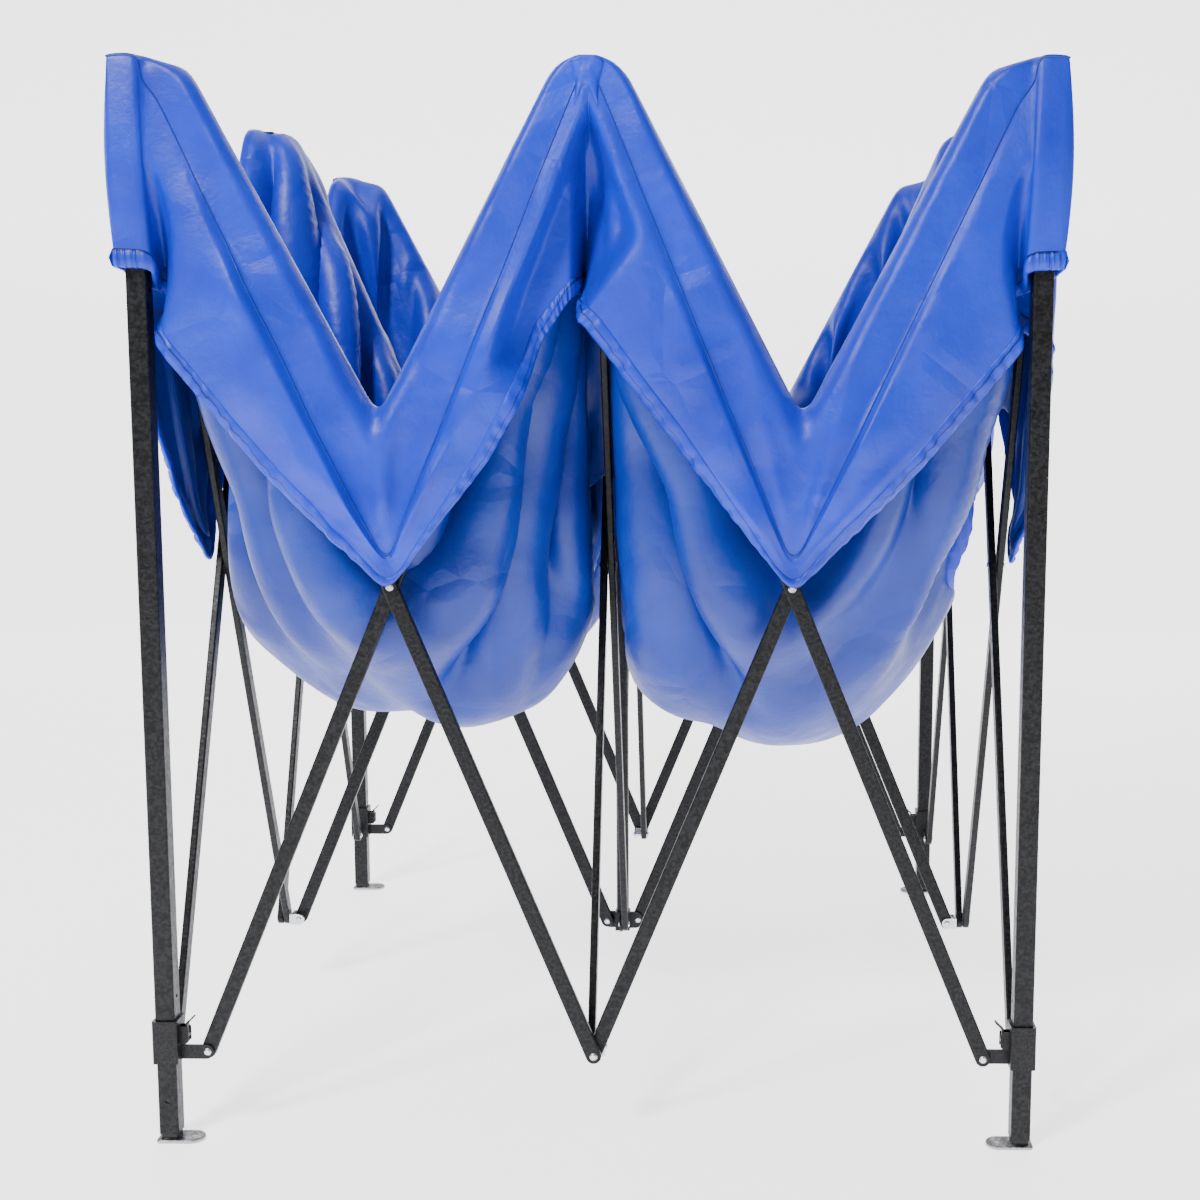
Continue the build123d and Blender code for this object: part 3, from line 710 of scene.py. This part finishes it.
def turned(points, side):
    """Points of the front side, as (x, y, z), turned about the vertical axis to another side."""
    x, y, z = points[..., 0], points[..., 1], points[..., 2]
    for _ in range(side):
        x, y = -y, x
    return np.stack([x, y, z], axis=-1)


def fold_out(points, side, fade):
    """Moves points of a side's front away from it by its folds, which end before the legs and the middle."""
    local = turned(points, (4 - side) % 4)
    distance = np.abs(local[..., 0])
    phase = 1.3 * side + 0.7 * (local[..., 0] > 0)
    ends = np.clip((HALF - 0.045 - distance) / 0.10, 0, 1) * np.clip((distance - 0.012) / 0.07, 0, 1)
    out = folds(local[..., 0], local[..., 2], side, phase) * ends * fade
    local[..., 1] = np.where(out > 0, np.maximum(local[..., 1] - out, -HALF - FURTHEST), local[..., 1])
    return turned(local, side)


def whole_roof(quarters, cut):
    """The roof's grid and its place in the cut, from the four quarters, with the folds of its edges."""
    size = SIDE_COLUMNS + 1
    roof, plan = np.zeros((size, size, 3)), np.zeros((size, size, 3))
    for quarter, (sx, sy) in zip(quarters, CORNERS.values()):
        columns = np.arange(LAST + 1) if sx < 0 else SIDE_COLUMNS - np.arange(LAST + 1)
        rows = np.arange(LAST + 1) if sy < 0 else SIDE_COLUMNS - np.arange(LAST + 1)
        signs = np.array([sx, sy, 1.0])
        roof[np.ix_(columns, rows)] = quarter * signs
        plan[np.ix_(columns, rows)] = cut * signs
    band = np.clip((FAN + 0.5 - np.minimum(np.arange(size), size - 1 - np.arange(size))) / 1.5, 0, 1)
    for side in range(4):
        strip = np.rot90(roof, -side, axes=(0, 1))
        fade = np.broadcast_to((band * (np.arange(size) < LAST))[None, :], strip.shape[:2])
        strip[...] = fold_out(strip, side, fade)
    return roof, plan


def side_valance(seam, distances, side):
    """A side's valance below its seam, and its place in the cut, both by row and column."""
    seam = turned(seam, (4 - side) % 4)
    seam = np.stack([np.abs(seam[:, 0]), seam[:, 1] + HALF, seam[:, 2]], axis=-1)
    left = half_valance(seam[:LAST + 1], distances, True)
    right = half_valance(seam[LAST:][::-1], distances, False)[:, -2::-1]
    local = np.concatenate([left * [-1, 1, 1], right], axis=1)
    local[..., 1] -= HALF
    front = local[..., 1] < -HALF - OUT + 0.006
    rows = np.arange(1, HEM_ROWS + 1)[:, None] / HEM_ROWS
    valance = fold_out(turned(local, side), side, front * (1 - 0.35 * rows))
    both = np.concatenate([distances, 2 * CUT_HALF - distances[-2::-1]])
    cut = np.stack(np.broadcast_arrays(both[None] - CUT_HALF, -CUT_HALF - VALANCE * rows, 0.0), -1)
    return valance, turned(cut, side)


def grid_faces(index):
    """The faces of a grid of point numbers."""
    return [(index[i, j], index[i + 1, j], index[i + 1, j + 1], index[i, j + 1])
            for i in range(index.shape[0] - 1) for j in range(index.shape[1] - 1)]


def cover_points():
    """Every point of the cover, its place in the cut, the faces, and each side's point numbers from the row
    where the cloth turns over the bars, down past the eave seam to the hem."""
    quarters, cut = hung_quarters()
    roof, plan = whole_roof(quarters, cut)
    size = SIDE_COLUMNS + 1
    index = np.arange(size * size).reshape(size, size)
    points, places = [roof.reshape(-1, 3)], [plan.reshape(-1, 3)]
    faces = grid_faces(index)
    grids, count = [], size * size
    for side in range(4):
        edge = np.rot90(index, -side, axes=(0, 1))[:, 0]
        valance, cut_place = side_valance(points[0][edge], CUT_HALF - cut[:, 0, 0], side)
        # a valance's last column is the next one's first
        grids.append(np.arange(count, count + HEM_ROWS * SIDE_COLUMNS).reshape(HEM_ROWS, SIDE_COLUMNS))
        points.append(valance[:, :-1].reshape(-1, 3))
        places.append(cut_place[:, :-1].reshape(-1, 3))
        count += HEM_ROWS * SIDE_COLUMNS
    sheets = []
    for side in range(4):
        upper = np.rot90(index, -side, axes=(0, 1))
        grid = np.concatenate([grids[side], grids[(side + 1) % 4][:, :1]], axis=1)
        grid = np.concatenate([upper[None, :, 0], grid])
        sheets.append(np.concatenate([upper[:, RIM:0:-1].T, grid]))
        faces += grid_faces(grid)
    return np.concatenate(points), np.concatenate(places), faces, sheets


# ---- how the cover follows the frame ------------------------------------------------------------
SHUT_TRAVEL = 0.4545             # how far a leg moves in, along each axis, as the canopy shuts
OPEN_TRAVEL = OPEN_HALF - HALF
PUSHES = {"right": ("front_left", "front_right"), "left": ("front_right", "front_left"),
          "back": ("front_left", "back_left"), "front": ("back_left", "front_left")}


def bones(name, body, followed):
    """An armature on `body`: each of its bones follows one of the frame's bodies, or stays if it has none."""
    data = bpy.data.armatures.new(name)
    rig = bpy.data.objects.new(name, data)
    bpy.context.collection.objects.link(rig)
    bpy.context.view_layer.objects.active = rig
    bpy.ops.object.mode_set(mode="EDIT")
    for bone_name in followed:
        bone = data.edit_bones.new(bone_name)
        bone.head, bone.tail, bone.roll = (0, 0, 0), (0, 1, 0), 0
    bpy.ops.object.mode_set(mode="OBJECT")
    for bone_name, target in followed.items():
        if target:
            rig.pose.bones[bone_name].constraints.new("COPY_TRANSFORMS").target = frame["bodies"][target]
    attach(rig, body)
    return rig


def outward_share(rest, cut):
    """How much of a leg's travel each point makes along one axis: even over the width, mixed with what puts
    it back in its place in the cut, and little enough that the bags don't cross when the canopy shuts."""
    rest, cut = np.abs(rest), np.abs(cut)
    even = rest / HALF
    exact = (np.minimum(cut, CUT_HALF) - rest) / OPEN_TRAVEL
    most = np.clip((rest + 0.07) / SHUT_TRAVEL, 0, 1) * (cut > 1e-4)
    return np.clip(0.15 * even + 0.85 * exact, 0, most)


def bone_weights(rest, cut):
    """How much each point follows each bone: the four legs, the side middles and the centre spread it; lift and
    hold raise it to the open roof; push and stay take the valances out to their width."""
    across, deep = outward_share(rest[:, 0], cut[:, 0]), outward_share(rest[:, 1], cut[:, 1])
    weights = {}
    for leg, (sx, sy) in CORNERS.items():
        weights[leg] = across * deep * (cut[:, 0] * sx >= 0) * (cut[:, 1] * sy >= 0)
    for side, (sx, sy) in MIDDLES.items():
        out, kept = (deep, across) if sy else (across, deep)
        weights[side] = out * (1 - kept) * ((cut[:, 1] * sy > 0) if sy else (cut[:, 0] * sx > 0))
    weights["centre"] = (1 - across) * (1 - deep)
    opened = np.abs(rest[:, :2]) + np.stack([across, deep], axis=1) * OPEN_TRAVEL
    on_roof = np.abs(cut[:, :2]).max(axis=1) < CUT_HALF - 1e-4
    peak = TOP + OPEN_RISE * np.clip(1 - opened.max(axis=1) / CUT_HALF, 0, 1)
    peak = np.where(on_roof, peak, TOP - (np.abs(cut[:, :2]).max(axis=1) - CUT_HALF))
    rise = np.clip((peak - rest[:, 2]) / (2 * OPEN_RISE), 0, 1)
    weights["lift"], weights["hold"] = rise, 1 - rise
    for axis, names in ((0, ("left", "right")), (1, ("front", "back"))):
        short = np.minimum(np.abs(cut[:, axis]), CUT_HALF) - opened[:, axis]
        push = np.clip(short / (2 * OPEN_TRAVEL), 0, 1) * ~on_roof
        for sign, name in zip((-1, 1), names):
            weights[f"push_{name}"] = push * (cut[:, axis] * sign > 0)
            weights[f"stay_{name}"] = (1 - push) * (weights[f"push_{name}"] > 1e-5)
    return weights


def follow(piece, rest, cut):
    """Makes a piece of the cover move with the leg tops, the side middles and the peak."""
    for name, values in bone_weights(rest, cut).items():
        group = piece.vertex_groups.new(name=name)
        for vertex in np.flatnonzero(values > 1e-5):
            group.add([int(vertex)], float(values[vertex]), "REPLACE")
    rigs = [("spread", spread_bones), ("rise", lift_bones), ("rise_again", lift_bones)] + push_bones
    for name, rig in rigs:
        bend = piece.modifiers.new(name, "ARMATURE")
        bend.object = rig


def on_sheet(grid, row, column):
    """Points on the smooth surface that a grid of points controls, at those rows and columns."""
    padded = np.pad(grid, ((1, 2), (1, 2), (0, 0)), mode="reflect", reflect_type="odd")
    parts = []
    for at, count in ((row, grid.shape[0]), (column, grid.shape[1])):
        low = np.clip(np.floor(at).astype(int), 0, count - 2)
        u = at - low
        parts.append((low, ((1 - u) ** 3 / 6, (3 * u ** 3 - 6 * u ** 2 + 4) / 6,
                            (-3 * u ** 3 + 3 * u ** 2 + 3 * u + 1) / 6, u ** 3 / 6)))
    (low_row, row_parts), (low_column, column_parts) = parts
    return sum((row_parts[i] * column_parts[j])[..., None] * padded[low_row + i, low_column + j]
               for i in range(4) for j in range(4))


def above_sheet(grid, row, column, height):
    """Such points, raised off the surface's outer face."""
    down = on_sheet(grid, row + 0.2, column) - on_sheet(grid, row - 0.2, column)
    across = on_sheet(grid, row, column + 0.2) - on_sheet(grid, row, column - 0.2)
    normal = np.cross(down, across)
    normal /= np.linalg.norm(normal, axis=-1, keepdims=True) + 1e-9
    return on_sheet(grid, row, column) + normal * height[..., None]


def cut_object(name, rest, cut, faces, materials):
    """A piece of the cover, with its cut coordinates, that moves with it."""
    mesh = bpy.data.meshes.new(name)
    mesh.from_pydata(rest.tolist(), [], faces)
    mesh.validate()
    mesh.polygons.foreach_set("use_smooth", [True] * len(mesh.polygons))
    corners = np.zeros(len(mesh.loops), int)
    mesh.loops.foreach_get("vertex_index", corners)
    layer = mesh.uv_layers.new(name="cut")
    layer.data.foreach_set("uv", cut[corners, :2].astype(np.float32).ravel())
    for material in materials:
        mesh.materials.append(material)
    piece = bpy.data.objects.new(name, mesh)
    bpy.context.collection.objects.link(piece)
    follow(piece, rest, cut)
    return piece


def thicken(piece, thickness, inner_material):
    """Gives the sheet its other face, below it, of the material that many places down its list."""
    thick = piece.modifiers.new("thickness", "SOLIDIFY")
    thick.thickness = thickness
    thick.offset = -1.0
    thick.material_offset = inner_material


def sewn_piece(name, rest, cut, faces, material):
    """A piece sewn to the cover."""
    piece = cut_object(name, np.concatenate(rest), np.concatenate(cut), faces, [material])
    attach(piece, "front_left_leg")
    return piece


def tube_faces(stations, ring, start):
    """The faces of a closed tube of rings, with its two ends closed."""
    faces = [(start + n * ring + k, start + n * ring + (k + 1) % ring,
              start + (n + 1) * ring + (k + 1) % ring, start + (n + 1) * ring + k)
             for n in range(stations - 1) for k in range(ring)]
    faces.append(tuple(start + k for k in range(ring)))
    faces.append(tuple(start + (stations - 1) * ring + k for k in reversed(range(ring))))
    return faces


def sewn_strips(name, strips, material):
    """One piece of several strips; each is (side, rows, columns, heights), all shaped station by ring."""
    rest, cut, faces, count = [], [], [], 0
    for side, row, column, height in strips:
        row, column, height = np.broadcast_arrays(row, column, height)
        rest.append(above_sheet(points[sheets[side]], row, column, height).reshape(-1, 3))
        cut.append(on_sheet(places[sheets[side]], row, column).reshape(-1, 3))
        faces += tube_faces(*row.shape, count)
        count += row.size
    return sewn_piece(name, rest, cut, faces, material)


def pucker_wave(stations, seed):
    """Uneven small puckers along a seam, 0 to 1."""
    random = np.random.default_rng(seed)
    along_seam = np.linspace(0, SIDE_COLUMNS, stations)
    wave = sum(np.sin(along_seam * pitch + random.uniform(0, 6.28)) for pitch in (4.1, 5.3, 7.2, 2.3))
    return np.clip(0.5 + wave / 4, 0, 1)


def hem_tapes():
    """The turned-up hem of the four valances, with the puckers that its stitching draws."""
    stations = 601
    strips = []
    for side in range(4):
        column = np.linspace(0, SIDE_COLUMNS, stations)[:, None]
        pucker = pucker_wave(stations, 200 + side)[:, None]
        grid = points[sheets[side]]
        last_row = np.linalg.norm(on_sheet(grid, np.full_like(column, HEM_ROW - 0.5), column)
                                  - on_sheet(grid, np.full_like(column, HEM_ROW), column), axis=-1) * 2
        wide = np.clip(HEM_WIDTH / last_row, 0.5, 4.0)
        # nine points round the hem: over its outer face, under its edge, and back up its inner face
        row = HEM_ROW + wide * np.array([-1.0, -0.93, -0.50, -0.05, 0.04, -0.05, -0.50, -0.93, -1.0])[None]
        row = row + wide * pucker * np.array([0, 0, 0, 0.02, 0.03, 0.02, 0, 0, 0])[None]
        flat = np.array([0.0003, 0.0012, 0.0013, 0.0014, -0.0004, -0.0024, -0.0024, -0.0020, -0.0012])[None]
        raised = np.array([0, 0.0004, 0.0060, 0.0024, 0.0006, -0.0006, -0.0012, 0, 0])[None]
        strips.append((side, row, column, flat + raised * pucker))
    return sewn_strips("cover_hem", strips, blue_cloth)


def eave_seams():
    """The raised seam between the roof and each valance."""
    half_wide, stations = 0.0016, 401
    strips = []
    ring = np.array([-1.0, -0.5, 0.5, 1.0, 1.0, -1.0])[None]
    proud = np.array([0.0002, 0.0017, 0.0017, 0.0002, -0.0010, -0.0010])[None]
    for side in range(4):
        column = np.linspace(0.4, SIDE_COLUMNS - 0.4, stations)
        step = on_sheet(points[sheets[side]], np.full_like(column, SEAM_ROW + 0.2), column) \
            - on_sheet(points[sheets[side]], np.full_like(column, SEAM_ROW - 0.2), column)
        share = np.clip(half_wide * 0.4 / np.linalg.norm(step, axis=-1), 0.03, 0.5)[:, None]
        strips.append((side, SEAM_ROW + ring * share, column[:, None], proud))
    return sewn_strips("cover_eave_seams", strips, seam_cloth)


def middle_patches():
    """The stitched trapezoid that strengthens the cover over each side's middle."""
    tall, wide, first_row, last_row = 15, 13, 3.0, SEAM_ROW + 1.7
    rest, cut, faces, count = [], [], [], 0
    for side in range(4):
        down, over = np.meshgrid(np.linspace(0, 1, tall), np.linspace(-1, 1, wide), indexing="ij")
        row = first_row + (last_row - first_row) * down
        column = LAST + over * (2.5 + 0.7 * down)
        edge = np.minimum(np.minimum(down, 1 - down) * 2, 1 - np.abs(over))
        height = 0.0008 + 0.0016 * np.clip(edge / 0.25, 0, 1)
        rest.append(above_sheet(points[sheets[side]], row, column, height).reshape(-1, 3))
        cut.append(on_sheet(places[sheets[side]], row, column).reshape(-1, 3))
        faces += grid_faces(count + np.arange(row.size).reshape(tall, wide))
        count += row.size
    patches = sewn_piece("cover_middle_patches", rest, cut, faces, blue_cloth)
    thicken(patches, PATCH_THICK, 0)
    return patches


def build_cover(sewn):
    """The cover as one thin sheet. Its materials go in pairs, outer then inner: the roof and the valances have
    the first pair, and the corner flaps the second."""
    cloth = cut_object("cover_cloth", points, places, cover_faces,
                       [blue_cloth, blue_lining, blue_cloth, pale_lining])
    corner = np.abs(places[:, :2]).min(axis=1) > CUT_HALF - 0.07
    pair = [2 * int(all(corner[vertex] for vertex in face)) for face in cover_faces]
    cloth.data.polygons.foreach_set("material_index", pair)
    finer = cloth.modifiers.new("finer", "SUBSURF")
    finer.levels = finer.render_levels = 1
    thicken(cloth, CLOTH_THICK, 1)
    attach(cloth, "front_left_leg")
    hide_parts("cover")


followed = {leg: f"{leg}_leg" for leg in CORNERS}
followed.update({side: f"{side}_middle_top" for side in MIDDLES})
spread_bones = bones("cover_spread", "front_left_leg", {**followed, "centre": "centre_top"})
lift_bones = bones("cover_lift", "centre_top", {"hold": None, "lift": "centre_lower"})
push_bones = [(f"push_{side}", bones(f"cover_push_{side}", f"{base}_leg",
                                     {f"stay_{side}": None, f"push_{side}": f"{goal}_leg"}))
              for side, (base, goal) in PUSHES.items()]
points, places, cover_faces, sheets = cover_points()
build_cover([hem_tapes(), eave_seams(), middle_patches()])
